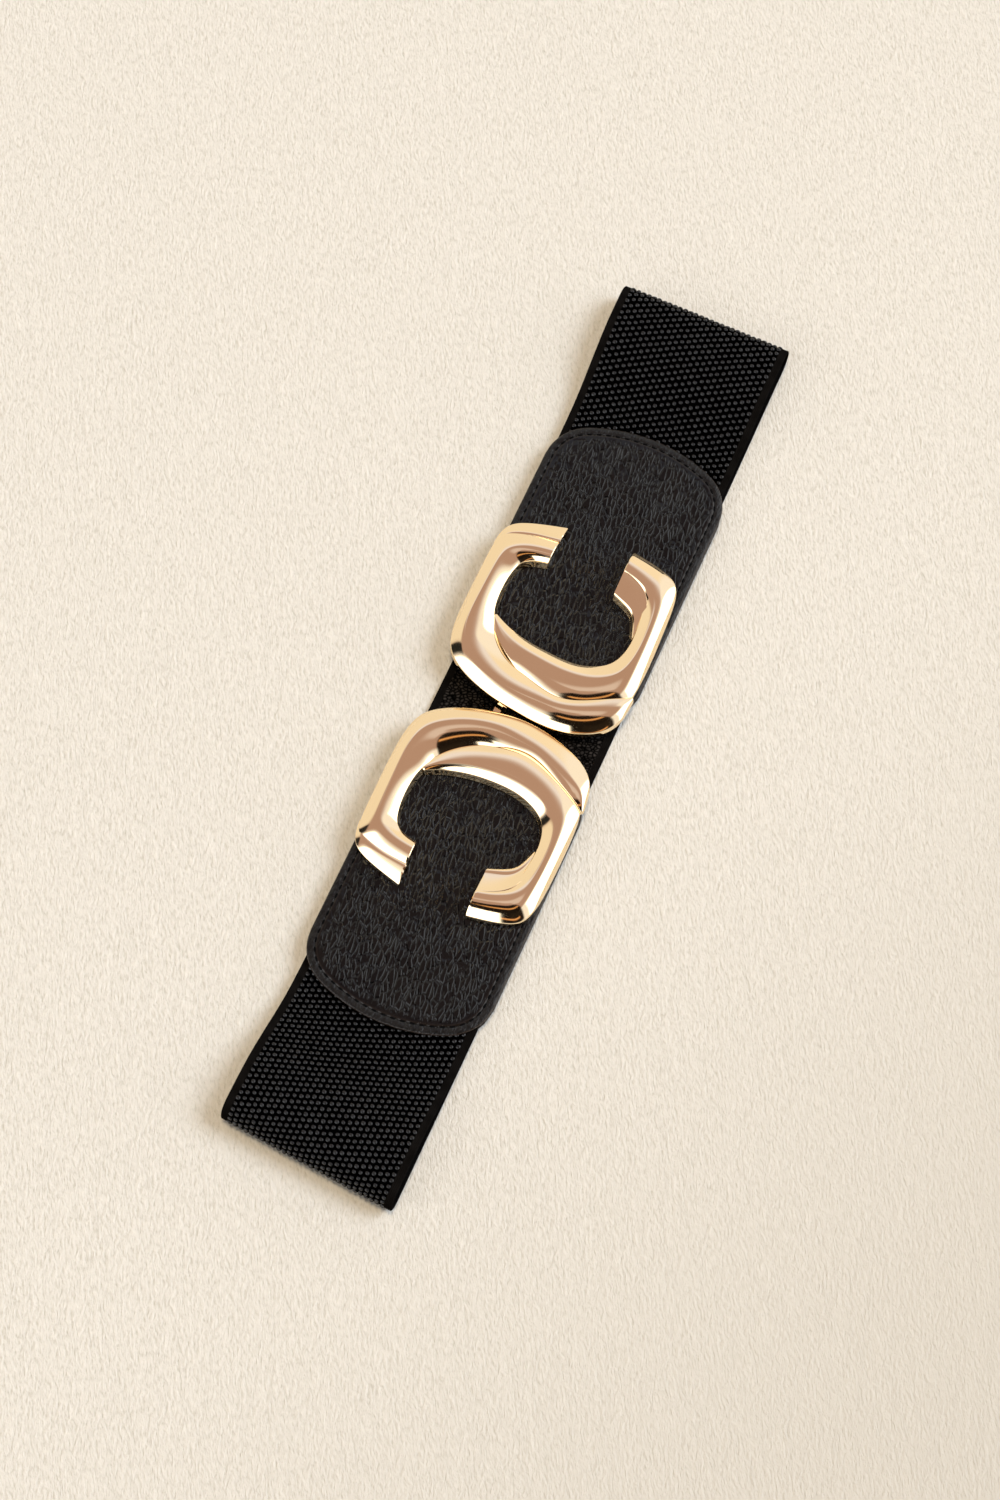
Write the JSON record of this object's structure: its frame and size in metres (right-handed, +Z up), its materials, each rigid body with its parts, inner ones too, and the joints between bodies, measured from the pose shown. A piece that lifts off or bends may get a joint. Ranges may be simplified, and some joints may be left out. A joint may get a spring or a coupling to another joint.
{
  "type": "waist belt",
  "caption": "Wide black elastic waist belt, fastened and laid flat as a folded loop, with black leather panels and a gold hooked buckle of open swirled frames.",
  "frame": {"origin": "on the resting surface, in the middle of the belt, on the line where the two buckle halves meet", "axes": "+Y along the belt towards the upper buckle half, +X across it, +Z up out of the buckle's face"},
  "size_m": [0.066, 0.3274, 0.0122],
  "materials": {
    "webbing": "matt black pebble-woven elastic with smooth selvedges",
    "leather": "satin black, fine grain with short creases",
    "gold": "mirror-polished pale rose-gold plating"
  },
  "bodies": {
    "root": {"elastic_band": "webbing", "leather_panel_upper": "leather", "leather_panel_lower": "leather", "buckle_upper": "gold", "buckle_lower": "gold"}
  },
  "joints": []
}
